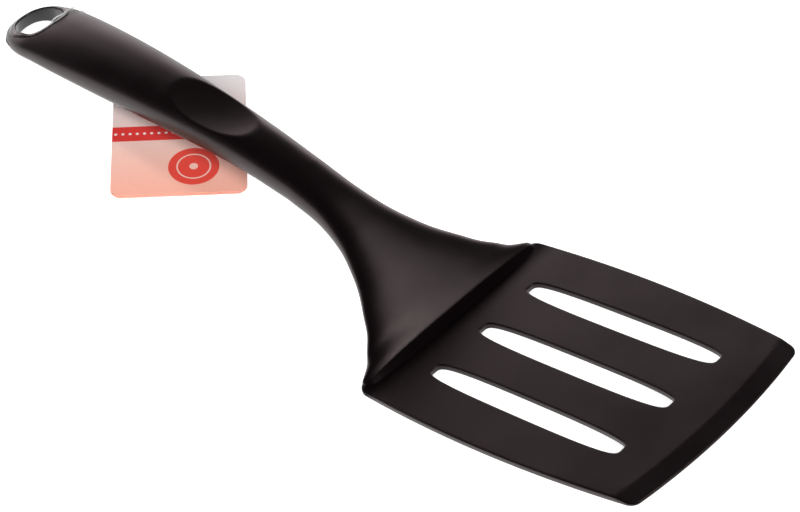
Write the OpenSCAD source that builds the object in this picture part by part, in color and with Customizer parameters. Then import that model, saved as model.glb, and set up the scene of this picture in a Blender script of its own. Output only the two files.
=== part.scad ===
// Slotted spatula for the kitchen, resting on a table on its heel and its handle's end.
// X runs from the handle to the blade, Y is across, Z is up, and the table is at Z = 0.
// The origin is on the table, midway between the handle's end and the blade's front.

/* [Blade] */
// Length of the blade from the ridge to the front edge
blade_l = 115.5; // [105:0.5:130]
// Widest width of the blade
blade_w = 93; // [84:1:104]
// Thickness of the blade
blade_t = 2.2; // [1.8:0.1:3]
// How far the front of the blade rises at rest, in degrees
blade_tilt = 17; // [14:1:20]
// Radius of each bowed long side
side_r = 490; // [400:10:700]
// Radius of the bowed front edge
front_r = 240; // [200:10:300]
// Radius of the front corners
corner_r = 4; // [2:0.5:7]
// Radius of the rear corners
heel_r = 4.5; // [3:0.5:12]
// Length of the thinned front strip
bevel_l = 6.6; // [4:0.2:9]
// Thickness left at the front edge
edge_t = 0.9; // [0.6:0.1:1.2]

/* [Slots] */
// Length of each slot
slot_l = 80; // [60:1:84]
// Width of each slot
slot_w = 8.8; // [6:0.2:11]
// Distance from one slot to the next
slot_pitch = 24.3; // [20:0.1:26]
// Gap between the slots and the front edge
slot_front = 22; // [18:0.5:24]

/* [Neck] */
// Length of the flared neck, from the heel to the waist
neck_l = 66; // [56:1:76]
// Height of the ridge above the blade
ridge_h = 3.5; // [3:0.25:6]
// Length of the step from the ridge down to the blade
ridge_foot = 2.1; // [1.5:0.1:4]
// How far the blade's underside runs back under the ridge
heel_back = 3.4; // [2:0.2:5]
// Width of the handle at its waist
waist_w = 18.4; // [15:0.2:22]

/* [Handle] */
// Length from the heel to the handle's end
handle_l = 217.5; // [200:1:235]
// Width of the grip at its widest
grip_w = 29.4; // [26:0.2:34]
// Height of the handle's top at the crown of its arch
arch_top = 28.2; // [25:0.2:31]
// Thickness of the handle at the crown
arch_t = 14.3; // [13:0.1:17]
// Length of the rounded end of the handle
end_l = 20; // [16:1:24]
// Wall of the hollow grip
wall = 2.4; // [2:0.1:3]
// Length of the thumb rest
scoop_l = 42; // [36:1:50]
// Depth of the thumb rest
scoop_d = 2.6; // [2:0.1:4]
// Thickness of the cover under the grip
cover_t = 1.6; // [1.2:0.1:2]
// Radius of the cover's two pegs
peg_r = 2; // [1.5:0.1:2.5]

/* [Hanging eye] */
// Length of the opening along the handle
eye_l = 15.6; // [12:0.2:17]
// Width of the opening across the handle
eye_w = 18; // [14:0.2:19]
// Wall of the eye's liner
liner_t = 1.4; // [1:0.1:2]
// Wall between the opening and the handle's end
eye_wall = 5.6; // [4.5:0.1:8]
// Height over which the opening widens below the liner
eye_flare = 2; // [1:0.1:2.5]

/* [Tag] */
// Width of the folded tag
tag_w = 48.5; // [40:0.5:60]
// Height of the folded tag
tag_h = 60; // [50:0.5:70]
// Thickness of one leaf of the tag
tag_t = 0.3; // [0.2:0.05:0.5]
// Radius of the tag's corners
tag_r = 4; // [2:0.5:6]
// Radius of the punched hole
tag_hole_r = 2; // [1.5:0.1:3]
// Diameter of the clear filament that holds the tag
loop_d = 0.6; // [0.5:0.05:0.8]

/* [Hidden] */

// Running clearance between pieces that are pressed or laid together
fit_gap = 0.15;
// Overrun of every cut past the face that it opens
cut = 1;

// The blade's rear underside is the heel, and it lies on the table
blade_run = (blade_l + heel_back) * cos(blade_tilt);
heel_x = (handle_l - blade_run) / 2;
end_x = heel_x - handle_l;

// Places along the handle are distances back from the heel
grip_l = handle_l - neck_l;
// Width of the neck at its ridge
ridge_w = 85;
ridge_top = heel_back * sin(blade_tilt) + (blade_t + ridge_h) * cos(blade_tilt);

// Neck, from heel to waist: share of its length, of the flare, of the rise of the top and of the bottom
neck_shares = [
    [0, 1, 0.03, 0],
    [0.05, 0.82, 0.096, 0.03],
    [0.1, 0.71, 0.16, 0.14],
    [0.16, 0.58, 0.235, 0.27],
    [0.24, 0.46, 0.332, 0.39],
    [0.34, 0.315, 0.449, 0.53],
    [0.44, 0.205, 0.56, 0.66],
    [0.58, 0.09, 0.706, 0.81],
    [0.77, 0.015, 0.865, 0.93],
    [1, 0, 0.965, 1]
];
// Grip, from waist to end: share of its length, of the widest width, of the arch's top and of its bottom
grip_shares = [
    [0, 0.626, 0.972, 1],
    [0.134, 0.673, 1, 1],
    [0.3, 0.769, 0.972, 0.87],
    [0.467, 0.878, 0.894, 0.65],
    [0.634, 0.96, 0.766, 0.42],
    [0.767, 1, 0.624, 0.25],
    [0.867, 1, 0.485, 0.12],
    [0.94, 1, 0.325, -0.03],
    [1, 1, 0.14, -0.06]
];
arch_bottom = arch_top - arch_t;
// Height of the widest line between bottom and top, at the heel and from the waist on
edge_heel_share = 0.36;
edge_grip_share = 0.5;
// Power of the rounded section, 2 being an ellipse
section_power = 2.4;

// A table's column read at t: a smooth curve through the rows, from the slopes between their neighbours
function row(table, t, i = 0) =
    i >= len(table) - 2 || t <= table[i + 1][0] ? i : row(table, t, i + 1);
function slope(table, i, c) = let (a = max(i - 1, 0), b = min(i + 1, len(table) - 1))
    (table[b][c] - table[a][c]) / (table[b][0] - table[a][0]);
function read(table, t, c) = let (
        i = row(table, t),
        d = table[i + 1][0] - table[i][0],
        k = (t - table[i][0]) / d,
        k2 = k * k,
        k3 = k2 * k
    )
    (2 * k3 - 3 * k2 + 1) * table[i][c] + (k3 - 2 * k2 + k) * d * slope(table, i, c)
    + (3 * k2 - 2 * k3) * table[i + 1][c] + (k3 - k2) * d * slope(table, i + 1, c);

// What the waist's own width adds to the grip, fading out along the first third of the grip
waist_fade_share = 1 / 3;
function waist_rest(s) =
    (waist_w - grip_w * grip_shares[0][1]) * max(1 - (s - neck_l) / (grip_l * waist_fade_share), 0);

// Half width, top and bottom of the handle at a distance s behind the heel
function round_end(s) = let (t = max(s - handle_l + end_l, 0) / end_l) sqrt(max(1 - t * t, 0));
function half_w(s) = s < neck_l
    ? waist_w / 2 + (ridge_w - waist_w) / 2 * read(neck_shares, s / neck_l, 1)
    : (grip_w * read(grip_shares, (s - neck_l) / grip_l, 1) + waist_rest(s)) / 2 * round_end(s);
function top_z(s) = s < neck_l
    ? ridge_top + (arch_top - ridge_top) * read(neck_shares, s / neck_l, 2)
    : arch_top * read(grip_shares, (s - neck_l) / grip_l, 2);
function bottom_z(s) = s < neck_l
    ? arch_bottom * read(neck_shares, s / neck_l, 3)
    : arch_bottom * read(grip_shares, (s - neck_l) / grip_l, 3);
function edge_z(s) = let (k = edge_heel_share + (edge_grip_share - edge_heel_share) * min(s / neck_l, 1))
    bottom_z(s) + (top_z(s) - bottom_z(s)) * k;

// The handle's surface over or under a place: distance s behind the heel, y across
function bulge(s, y) = pow(max(1 - pow(abs(y) / half_w(s), section_power), 0), 1 / section_power);
function roof_z(s, y) = edge_z(s) + (top_z(s) - edge_z(s)) * bulge(s, y);
function belly_z(s, y) = max(edge_z(s) - (edge_z(s) - bottom_z(s)) * bulge(s, y), 0);

// The thumb rest is part of a large ball pressed into the top, deepest at this distance behind the heel
scoop_s = 114.5;
scoop_r = (scoop_l * scoop_l / 4 + scoop_d * scoop_d) / (2 * scoop_d);
function scoop_z(s, y) = let (d = scoop_r * scoop_r - pow(s - scoop_s, 2) - y * y)
    abs(s - scoop_s) > scoop_l ? arch_top + scoop_r : top_z(scoop_s) - scoop_d + scoop_r - sqrt(max(d, 0));

// Shares of the handle's half width: the cover's seat and the opening inside it
seat_share = 0.66;
bay_share = 0.5;
seat_turn = acos(pow(seat_share, section_power / 2));

// One cross-section: the outside from seat edge over the top to seat edge, then back along the bottom,
// which is plain where the handle is solid and runs up round the hollow where it is cored
outer_n = 22;
inner_n = 13;
core_turns = [198, 170, 130, 90, 50, 10, -18];
function power(v, p) = sign(v) * pow(abs(v), p);
function oval(w, edge, up, down, a) = [
    w * power(cos(a), 2 / section_power),
    edge + (sin(a) > 0 ? up : down) * power(sin(a), 2 / section_power)
];
function over_turn(i) = -seat_turn + (180 + 2 * seat_turn) * i / (outer_n - 1);
function under_turn(i) = 180 + seat_turn + (180 - 2 * seat_turn) * i / (inner_n + 1);
function shell_ring(x, w, edge, up, down) = concat(
    [for (i = [0:outer_n - 1]) let (p = oval(w, edge, up, down, over_turn(i)))
        [x, p[0], min(p[1], scoop_z(heel_x - x, p[0]))]],
    [for (i = [1:inner_n]) let (p = oval(w, edge, up, down, under_turn(i))) [x, p[0], p[1]]]
);
function solid_ring(s) = shell_ring(heel_x - s, half_w(s), edge_z(s), top_z(s) - edge_z(s),
                                    edge_z(s) - bottom_z(s));
function seat_point(s, share, lift) = [share * half_w(s), belly_z(s, share * half_w(s)) + lift];
function cored_ring(s) = let (
        x = heel_x - s,
        seat = cover_t + fit_gap,
        steps = [for (at = [[seat_share, seat], [bay_share, seat], [bay_share, wall]])
            seat_point(s, at[0], at[1])],
        up = top_z(s) - edge_z(s) - wall,
        down = edge_z(s) - bottom_z(s) - wall,
        roof = [for (a = core_turns) let (p = oval(half_w(s) - wall, edge_z(s), up, down, a))
            [p[0], min(p[1], scoop_z(s, p[0]) - wall)]]
    )
    concat(
        [for (i = [0:outer_n - 1]) solid_ring(s)[i]],
        [for (p = steps) [x, -p[0], p[1]]],
        [for (p = roof) [x, p[0], p[1]]],
        [for (i = [2:-1:0]) [x, steps[i][0], steps[i][1]]]
    );

// A skin through rings of equal length, closed at both ends or back on itself
module skin(rings, endless = false) {
    n = len(rings[0]);
    last = len(rings) - 1;
    sides = [for (j = [0:endless ? last : last - 1], i = [0:n - 1]) let (
            a = j * n + i,
            b = j * n + (i + 1) % n,
            c = (j + 1) % (last + 1) * n
        )
        each [[a, b, c + (i + 1) % n], [a, c + (i + 1) % n, c + i]]];
    ends = endless ? [] : [[for (i = [n - 1:-1:0]) i], [for (i = [0:n - 1]) last * n + i]];
    polyhedron([for (r = rings) each r], concat(sides, ends));
}

// Rings of the step between blade and ridge: share of its length, share of the ridge's height
foot_shares = [[3.9, -0.25], [1.2, -0.1], [0.94, 0.08], [0.68, 0.33], [0.34, 0.66], [0, 1]];
foot_edge_share = 1 / 3;
function foot_ring(f) = let (
        v = ridge_foot * f[0] + heel_back,
        w = blade_t + ridge_h * f[1],
        x = v * cos(blade_tilt) - w * sin(blade_tilt),
        top = v * sin(blade_tilt) + w * cos(blade_tilt),
        under = max(x, 0) * tan(blade_tilt) + blade_t / 8,
        edge = under + (top - under) * foot_edge_share
    )
    shell_ring(heel_x + x, ridge_w / 2, edge, top - edge, edge - under);

// The hollow runs from just behind the waist to short of the eye
core_set_back = 8;
core_start = neck_l + core_set_back;
core_end = handle_l - eye_wall - eye_l - 3 * liner_t - 3 * wall;
neck_steps = 12;
core_steps = 14;
end_steps = 8;
neck_s = concat([for (i = [0:neck_steps - 1]) neck_l * pow(i / neck_steps, 1.4)], [neck_l, core_start]);
core_first = core_start + fit_gap;
core_last = core_end - fit_gap;
core_s = [for (i = [0:core_steps]) core_first + (core_last - core_first) * i / core_steps];
tail_s = concat(
    [core_end, (core_end + handle_l - end_l) / 2],
    [for (i = [0:end_steps]) handle_l - end_l * (1 - sin(89 * i / end_steps))]
);

module shell() {
    skin(concat([for (f = foot_shares) foot_ring(f)], [for (s = neck_s) solid_ring(s)],
                [for (s = core_s) cored_ring(s)], [for (s = tail_s) solid_ring(s)]));
}

// Bosses inside the grip that take the cover's pegs
boss_s = [core_start + 3 * wall + 2 * peg_r, core_end - 3 * wall - 2 * peg_r];
boss_r = peg_r + wall * 0.75;
module bosses() {
    for (s = boss_s)
        translate([heel_x - s, 0, bottom_z(s) + wall + cover_t])
            cylinder(r = boss_r, h = top_z(s) - bottom_z(s) - 1.5 * wall - cover_t, $fn = 48);
}
module sockets() {
    for (s = boss_s)
        translate([heel_x - s, 0, bottom_z(s)])
            cylinder(r = peg_r + fit_gap / 2, h = top_z(s) - bottom_z(s) - 2 * wall, $fn = 48);
}

// The blade in its own plane: V forward from the ridge, Y across, W up from the underside
wide_share = 0.36;
wide_v = blade_l * wide_share;
side_c = [wide_v, blade_w / 2 - side_r];
front_c = [blade_l - front_r, 0];
function meet(c, r, d, q) = let (
        e = d - c,
        l = norm(e),
        a = (r * r - q * q + l * l) / (2 * l),
        h = sqrt(r * r - a * a)
    )
    c + e / l * a + [e[1], -e[0]] / l * h;
corner_c = meet(side_c, side_r - corner_r, front_c, front_r - corner_r);
heel_c = [heel_r - heel_back,
          side_c[1] + sqrt(pow(side_r - heel_r, 2) - pow(heel_r - heel_back - wide_v, 2))];
function bearing(c, p) = atan2(p[1] - c[1], p[0] - c[0]);
function arc(c, r, a, b, n) = [for (i = [0:n]) let (t = a + (b - a) * i / n) c + r * [cos(t), sin(t)]];

side_turn = bearing(side_c, corner_c);
heel_turn = bearing(side_c, heel_c);
front_turn = bearing(front_c, corner_c);
half_outline = concat(
    arc(front_c, front_r, 0, front_turn, 8),
    arc(corner_c, corner_r, front_turn, side_turn, 5),
    arc(side_c, side_r, side_turn, heel_turn, 14),
    arc(heel_c, heel_r, heel_turn, 180, 6)
);
outline = concat(half_outline,
                 [for (i = [len(half_outline) - 1:-1:1]) [half_outline[i][0], -half_outline[i][1]]]);

slot_end_power = 3;
slot_side_power = 4.2;
slot_n = 3;
slot_points = 40;
slot_v = blade_l - slot_front - slot_l / 2;
module slot() {
    linear_extrude(blade_t + 2 * cut)
        polygon([for (i = [0:slot_points - 1]) let (a = 360 * i / slot_points)
            [slot_l / 2 * power(cos(a), 2 / slot_end_power),
             slot_w / 2 * power(sin(a), 2 / slot_side_power)]]);
}

module bevel() {
    lip = edge_t - (blade_t - edge_t) / bevel_l * cut;
    translate([front_c[0], 0, 0])
        rotate_extrude(angle = 60, start = -30, $fn = 720)
            polygon([[front_r - bevel_l, blade_t], [front_r + cut, lip],
                     [front_r + cut, blade_t + cut], [front_r - bevel_l, blade_t + cut]]);
}

module blade_place() {
    translate([heel_x, 0, 0]) rotate([0, -blade_tilt, 0]) translate([heel_back, 0, 0]) children();
}

module blade() {
    difference() {
        linear_extrude(blade_t) polygon(outline);
        for (i = [0:slot_n - 1])
            translate([slot_v, (i - (slot_n - 1) / 2) * slot_pitch, -cut]) slot();
        bevel();
    }
}

// The opening of the hanging eye, round at the handle's end and squarer towards the grip
eye_x = end_x + eye_wall + eye_l / 2;
eye_points = 40;
eye_grip_power = 3.2;
eye_end_power = 2.2;
function eye_point(a, grow) = let (p = cos(a) > 0 ? eye_grip_power : eye_end_power)
    [(eye_l / 2 + grow) * power(cos(a), 2 / p), (eye_w / 2 + grow) * power(sin(a), 2 / p)];
function eye_ring(z, grow) =
    [for (i = [0:eye_points - 1]) let (p = eye_point(-360 * i / eye_points, grow)) [eye_x + p[0], p[1], z]];

// The hole that takes the liner. Below the liner it widens down to the underside
module eye_hole() {
    hole = liner_t + fit_gap;
    skin([eye_ring(-cut, hole + eye_flare + cut), eye_ring(eye_flare, hole), eye_ring(arch_top, hole)]);
}

// The small flat under the handle's end, on which it rests
module end_flat() {
    translate([end_x - cut, -grip_w / 2, -arch_t]) cube([2 * end_l, grip_w, arch_t]);
}

// One moulding: blade, neck and the upper shell of the grip
module turner() {
    color("#2a2627")
        difference() {
            union() {
                shell();
                bosses();
                blade_place() blade();
            }
            sockets();
            end_flat();
            eye_hole();
        }
}

// Cover under the hollow grip, with two pegs
cover_n = 8;
function cover_ring(s) = let (y = seat_share * half_w(s) - fit_gap, n = cover_n) concat(
    [for (i = [0:n]) let (p = y * (2 * i / n - 1)) [heel_x - s, p, belly_z(s, p)]],
    [for (i = [n:-1:0]) let (p = y * (2 * i / n - 1)) [heel_x - s, p, belly_z(s, p) + cover_t]]
);
module grip_cover() {
    color("#2d292a") {
        skin([for (i = [0:core_steps])
            cover_ring(core_first + fit_gap + (core_last - core_first - 2 * fit_gap) * i / core_steps)]);
        for (s = boss_s)
            translate([heel_x - s, 0, bottom_z(s) + cover_t / 2])
                cylinder(r = peg_r, h = top_z(s) - bottom_z(s) - cover_t / 2 - 3 * wall, $fn = 48);
    }
}

// Liner of the hanging eye: a sleeve with a bead round its top, which thins out on the grip's side
bead_w = 1;
bead_h = 0.5;
bead_least_share = 0.15;
function bead_share(a) = let (t = min(max((0.5 - cos(a)) / 0.7, 0), 1))
    bead_least_share + (1 - bead_least_share) * t * t * (3 - 2 * t);
function liner_ring(a) = let (
        k = bead_share(a),
        inside = eye_point(a, 0),
        outside = eye_point(a, liner_t),
        rim = eye_point(a, liner_t + bead_w * k),
        s = heel_x - eye_x
    )
    [
        [eye_x + inside[0], inside[1], eye_flare],
        [eye_x + inside[0], inside[1], roof_z(s - inside[0], inside[1]) + bead_h * k],
        [eye_x + outside[0], outside[1], roof_z(s - outside[0], outside[1]) + fit_gap + bead_h * k],
        [eye_x + rim[0], rim[1], roof_z(s - rim[0], rim[1]) + fit_gap * (1 + k)],
        [eye_x + outside[0], outside[1], roof_z(s - outside[0], outside[1]) + fit_gap],
        [eye_x + outside[0], outside[1], eye_flare]
    ];
module hanging_eye() {
    color("#151314")
        skin([for (i = [0:eye_points - 1]) liner_ring(-360 * i / eye_points)], endless = true);
}

// A leaf of the tag, in its own plane, with its punched hole at the origin, inset from both edges
tag_inset = 5.2;
module leaf(extra) {
    difference() {
        linear_extrude(tag_t)
            translate([-tag_inset, -tag_h + tag_inset - extra]) {
                translate([0, tag_r]) square([tag_w, tag_h + extra - 2 * tag_r]);
                translate([tag_r, 0]) square([tag_w - 2 * tag_r, tag_h + extra]);
                for (x = [tag_r, tag_w - tag_r], y = [tag_r, tag_h + extra - tag_r])
                    translate([x, y]) circle(r = tag_r, $fn = 48);
            }
        translate([0, 0, -cut]) cylinder(r = tag_hole_r, h = tag_t + 2 * cut, $fn = 48);
    }
}
// Route of the clear filament, from the lock round the far wall of the eye, to the tag and back
loop_route = [
    [-127.5, 17.3, 1.5], [-133, 16.6, 2.6], [-139.5, 15.7, 5.4], [-143.6, 15.5, 8.8],
    [-145.7, 13, 12], [-145.2, 9.4, 13.8], [-144, 5.3, 14.9], [-144.3, 2, 15], [-145.4, 0.6, 12.8],
    [-145.5, 0.3, 9],
    [-145.6, 0.3, 5], [-145.4, 0.4, 2], [-144, 0.5, 0.8], [-139.5, 1, 0.45], [-130, 1.9, 0.4],
    [-120, 2.6, 0.4], [-110.2, 2.9, 0.4], [-108, 3, 1.1], [-108, 3.6, 2.3], [-111, 5.6, 2.7],
    [-116, 9.6, 2.4], [-121, 14.2, 1.7], [-123.2, 16, 1.5]
];
loop_rings = 78;
loop_sides = 8;

// The filament goes up through the tag's hole at this point of its route
tag_point = 17;
tag_at = [loop_route[tag_point][0], loop_route[tag_point][1]];
// The tag lies flat under the grip, just clear of the filament below it
tag_turn = 45.5;
tag_rest = loop_d + 2 * fit_gap;
// Air between the two leaves, and how much longer the back leaf is
leaf_gap = 0.1;
tag_slip = 0.7;
module tag_place(lift) {
    translate([tag_at[0], tag_at[1], tag_rest + lift]) rotate([0, 0, tag_turn]) children();
}
module tag_back() {
    color("#e9c3b8") tag_place(0) leaf(tag_slip);
}
module tag_front() {
    color("#f0cfc5") tag_place(tag_t + leaf_gap) leaf(0);
}

// A smooth curve through the route's points
function spline(p, t) = let (
        n = len(p) - 1,
        i = min(floor(t), n - 1),
        k = t - i,
        a = p[max(i - 1, 0)], b = p[i], c = p[i + 1], d = p[min(i + 2, n)]
    )
    0.5 * (2 * b + (c - a) * k + (2 * a - 5 * b + 4 * c - d) * k * k + (3 * b - a - 3 * c + d) * k * k * k);
function unit(v) = v / norm(v);
function frames(path, i = 0, side = [0, 0, 1], done = []) = i >= len(path) ? done : let (
        t = unit(path[min(i + 1, len(path) - 1)] - path[max(i - 1, 0)]),
        u = unit(side - t * (side * t))
    )
    frames(path, i + 1, u, concat(done, [[u, cross(t, u)]]));
module tag_loop() {
    last = len(loop_route) - 1;
    path = [for (i = [0:loop_rings - 1]) spline(loop_route, last * i / (loop_rings - 1))];
    f = frames(path);
    color("#dfe3e4")
        skin([for (i = [0:loop_rings - 1]) [for (j = [0:loop_sides - 1]) let (a = -360 * j / loop_sides)
            path[i] + loop_d / 2 * (cos(a) * f[i][0] + sin(a) * f[i][1])]]);
}

// Small clear block that holds both ends of the filament
lock_w = 3;
module loop_lock() {
    a = loop_route[0];
    b = loop_route[len(loop_route) - 1];
    m = (a + b) / 2;
    color("#d5dadb")
        translate(m) rotate([0, 0, bearing(b, a)])
            translate([-norm(a - b) / 2, -lock_w / 2, -m[2] + fit_gap])
                cube([norm(a - b), lock_w, 2 * m[2] - 2 * fit_gap]);
}

turner();
grip_cover();
hanging_eye();
tag_front();
tag_back();
tag_loop();
loop_lock();
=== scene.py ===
import math

import bmesh
import bpy
import numpy as np
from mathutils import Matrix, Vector
from mathutils.geometry import delaunay_2d_cdt


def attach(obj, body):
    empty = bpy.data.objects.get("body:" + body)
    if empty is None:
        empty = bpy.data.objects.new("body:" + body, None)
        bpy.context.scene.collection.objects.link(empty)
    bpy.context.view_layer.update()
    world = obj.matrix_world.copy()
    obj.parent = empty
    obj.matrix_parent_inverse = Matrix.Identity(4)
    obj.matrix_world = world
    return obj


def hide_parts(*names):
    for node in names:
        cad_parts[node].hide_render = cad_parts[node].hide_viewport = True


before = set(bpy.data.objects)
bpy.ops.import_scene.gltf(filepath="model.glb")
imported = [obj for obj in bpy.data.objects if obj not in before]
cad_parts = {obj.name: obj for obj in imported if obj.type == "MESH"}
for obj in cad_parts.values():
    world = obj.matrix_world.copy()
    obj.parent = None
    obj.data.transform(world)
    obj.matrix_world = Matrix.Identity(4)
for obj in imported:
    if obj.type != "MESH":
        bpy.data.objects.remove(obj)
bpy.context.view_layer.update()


# ---------------------------------------------------------------------------
# The turner's handle and neck: one black nylon moulding, cored from below in the grip and flared
# into a ridge over the blade. Lengths are in millimetres until the mesh is made, and places along
# the handle are distances back from the heel, the blade's rear lower edge.
blade_l, blade_w, blade_t = 115.5, 93.0, 2.2
blade_tilt = math.radians(17)
heel_back, ridge_h, ridge_foot, ridge_w = 3.4, 3.5, 2.1, 85.0
neck_l, waist_w, waist_solid_l = 66.0, 18.4, 8.0
handle_l, grip_w, end_l, tip_l = 217.5, 29.4, 20.0, 5.0
arch_top, arch_t = 28.2, 14.3
wall, cover_t, fit_gap = 2.4, 1.6, 0.15
scoop_l, scoop_d, scoop_s, scoop_lip = 42.0, 2.6, 114.5, 0.4
eye_l, eye_w, liner_t, eye_wall, eye_flare = 15.6, 18.0, 1.4, 5.6, 2.0
eye_grip_power, eye_end_power = 3.2, 2.2
section_power, seat_share, bay_share = 2.4, 0.66, 0.5
edge_heel_share, edge_grip_share = 0.36, 0.5
clear_of_top, tiny = 1e3, 1e-6
tilt_cos, tilt_sin = math.cos(blade_tilt), math.sin(blade_tilt)
heel_x = (handle_l - (blade_l + heel_back) * tilt_cos) / 2
eye_x = heel_x - handle_l + eye_wall + eye_l / 2
grip_l = handle_l - neck_l
arch_bottom = arch_top - arch_t
ridge_top = heel_back * tilt_sin + (blade_t + ridge_h) * tilt_cos

# share of the neck's length: of the flare, of the rise of the top, of the rise of the bottom
neck_shares = [
    [0, 1, 0.03, 0], [0.05, 0.82, 0.096, 0.03], [0.1, 0.71, 0.16, 0.14],
    [0.16, 0.58, 0.235, 0.27], [0.24, 0.46, 0.332, 0.39], [0.34, 0.315, 0.449, 0.53],
    [0.44, 0.205, 0.56, 0.66], [0.58, 0.09, 0.706, 0.81], [0.77, 0.015, 0.865, 0.93],
    [1, 0, 0.965, 1],
]
# share of the grip's length: of its widest width, of the arch's top, of the arch's bottom
grip_shares = [
    [0, 0.626, 0.972, 1], [0.134, 0.673, 1, 1], [0.3, 0.769, 0.972, 0.87],
    [0.467, 0.878, 0.894, 0.65], [0.634, 0.96, 0.766, 0.42], [0.767, 1, 0.624, 0.25],
    [0.867, 1, 0.485, 0.12], [0.94, 1, 0.325, -0.03], [1, 1, 0.14, -0.06],
]
# share of the step's length in front of the ridge: of the ridge's height
foot_shares = [[0, 1], [0.34, 0.66], [0.68, 0.33], [0.94, 0.08], [1.2, -0.1], [3.9, -0.25]]


def read_shares(table, t):
    """Every column of a table at t: the cubic between two rows whose slope at each row
    is that of the straight line between the rows on either side of it."""
    table = np.array(table, float)
    at, value = table[:, 0], table[:, 1:]
    n = len(at)
    low, high = np.maximum(np.arange(n) - 1, 0), np.minimum(np.arange(n) + 1, n - 1)
    slope = (value[high] - value[low]) / (at[high] - at[low])[:, None]
    t = np.asarray(t, float)
    i = np.clip(np.searchsorted(at, t) - 1, 0, n - 2)
    d = (at[i + 1] - at[i])[..., None]
    k = (t - at[i])[..., None] / d
    made = (2 * k**3 - 3 * k**2 + 1) * value[i] + (k**3 - 2 * k**2 + k) * d * slope[i]
    made = made + (3 * k**2 - 2 * k**3) * value[i + 1] + (k**3 - k**2) * d * slope[i + 1]
    return np.moveaxis(made, -1, 0)


def handle_lines(s):
    """Half width, top, bottom and height of the widest line at distances s behind the heel.
    What the waist is narrower or wider than the grip's first row is shed over a third of the
    grip. The end is a quarter ellipse in plan, and rounds over in height along tip_l."""
    neck = s < neck_l
    flare, rise, lift = read_shares(neck_shares, np.clip(s / neck_l, 0, 1))
    wide, over, under = read_shares(grip_shares, np.clip((s - neck_l) / grip_l, 0, 1))
    rest = (waist_w - grip_w * grip_shares[0][1]) * np.maximum(1 - 3 * (s - neck_l) / grip_l, 0)
    turn = np.sqrt(1 - (np.clip(s - handle_l + end_l, 0, end_l) / end_l) ** 2)
    half = np.where(neck, waist_w / 2 + (ridge_w - waist_w) / 2 * flare,
                    (grip_w * wide + rest) / 2 * turn)
    top = np.where(neck, ridge_top + (arch_top - ridge_top) * rise, arch_top * over)
    bottom = np.where(neck, arch_bottom * lift, arch_bottom * under)
    edge_share = edge_heel_share + (edge_grip_share - edge_heel_share) * np.minimum(s / neck_l, 1)
    edge = bottom + (top - bottom) * edge_share
    over_tip = np.sqrt(1 - (np.clip(s - handle_l + tip_l, 0, tip_l) / tip_l) ** 2)
    return half, edge + (top - edge) * over_tip, edge - (edge - bottom) * over_tip, edge


def bulge(y, half):
    """Share of a section's height at y across: a superellipse."""
    share = np.minimum(np.abs(y) / np.maximum(half, tiny), 1)
    return (1 - share**section_power) ** (1 / section_power)


scoop_r = (scoop_l**2 / 4 + scoop_d**2) / (2 * scoop_d)
scoop_floor = handle_lines(np.array([scoop_s]))[1][0] - scoop_d


def scoop_z(s, y):
    """The thumb rest: the underside of a large ball that is pressed into the handle's top."""
    room = scoop_r**2 - (s - scoop_s) ** 2 - y**2
    z = scoop_floor + scoop_r - np.sqrt(np.maximum(room, 0))
    return np.where(np.abs(s - scoop_s) > scoop_l, clear_of_top, z)


def softer_min(a, b, width):
    """The lower of a and b, rounded over where they are within width of each other."""
    h = np.clip(0.5 + 0.5 * (b - a) / width, 0, 1)
    return b + (a - b) * h - width * h * (1 - h)


def roof_z(s, y):
    """Height of the handle's top: the section's upper half, with the thumb rest cut in."""
    half, top, _, edge = handle_lines(s)
    return softer_min(edge + (top - edge) * bulge(y, half), scoop_z(s, y), scoop_lip)


def belly_z(s, y):
    """Height of the handle's underside, never below the table."""
    half, _, bottom, edge = handle_lines(s)
    return np.maximum(edge - (edge - bottom) * bulge(y, half), 0)


def signed_power(v, p):
    """The size of v raised to p, with v's sign."""
    return np.sign(v) * np.abs(v) ** p


def eye_point(a, grow):
    """The eye's outline at angle a, grown by a margin: a superellipse, squarer towards the grip."""
    p = 2 / np.where(np.cos(a) > 0, eye_grip_power, eye_end_power)
    return ((eye_l / 2 + grow) * signed_power(np.cos(a), p),
            (eye_w / 2 + grow) * signed_power(np.sin(a), p))


def finished_mesh(name, points, quads):
    """A mesh object from points in millimetres and faces that point outwards. Points that
    lie on one another are joined, which closes the seams and the tips."""
    mesh = bpy.data.meshes.new(name)
    points = np.asarray(points, float).reshape(-1, 3) / 1000
    mesh.vertices.add(len(points))
    mesh.vertices.foreach_set("co", points.astype(np.float32).ravel())
    quads = [np.asarray(q, int) for q in quads]
    quads = [q.reshape(-1, q.shape[-1]) for q in quads if q.size]
    loops = np.concatenate([q.ravel() for q in quads])
    sizes = np.concatenate([np.full(len(q), q.shape[-1]) for q in quads])
    mesh.loops.add(len(loops))
    mesh.loops.foreach_set("vertex_index", loops.astype(np.int32))
    mesh.polygons.add(len(sizes))
    starts = np.concatenate([[0], np.cumsum(sizes)[:-1]])
    mesh.polygons.foreach_set("loop_start", starts.astype(np.int32))
    mesh.polygons.foreach_set("use_smooth", np.full(len(sizes), True))
    mesh.update(calc_edges=True)
    mesh.validate()
    joined = bmesh.new()
    joined.from_mesh(mesh)
    bmesh.ops.remove_doubles(joined, verts=joined.verts, dist=tiny)
    joined.to_mesh(mesh)
    joined.free()
    made = bpy.data.objects.new(name, mesh)
    bpy.context.scene.collection.objects.link(made)
    return made


def grid_quads(index, around=False):
    """Quads over a table of point numbers, joined back on itself across if it goes around."""
    if around:
        index = np.concatenate([index, index[:, :1]], axis=1)
    corners = [index[:-1, :-1], index[:-1, 1:], index[1:, 1:], index[1:, :-1]]
    return np.stack(corners, -1).reshape(-1, 4)


def ends(number):
    """The two faces that close a tube of quads, from its table of point numbers."""
    return [number[0][None, ::-1], number[-1][None, :]]


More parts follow.
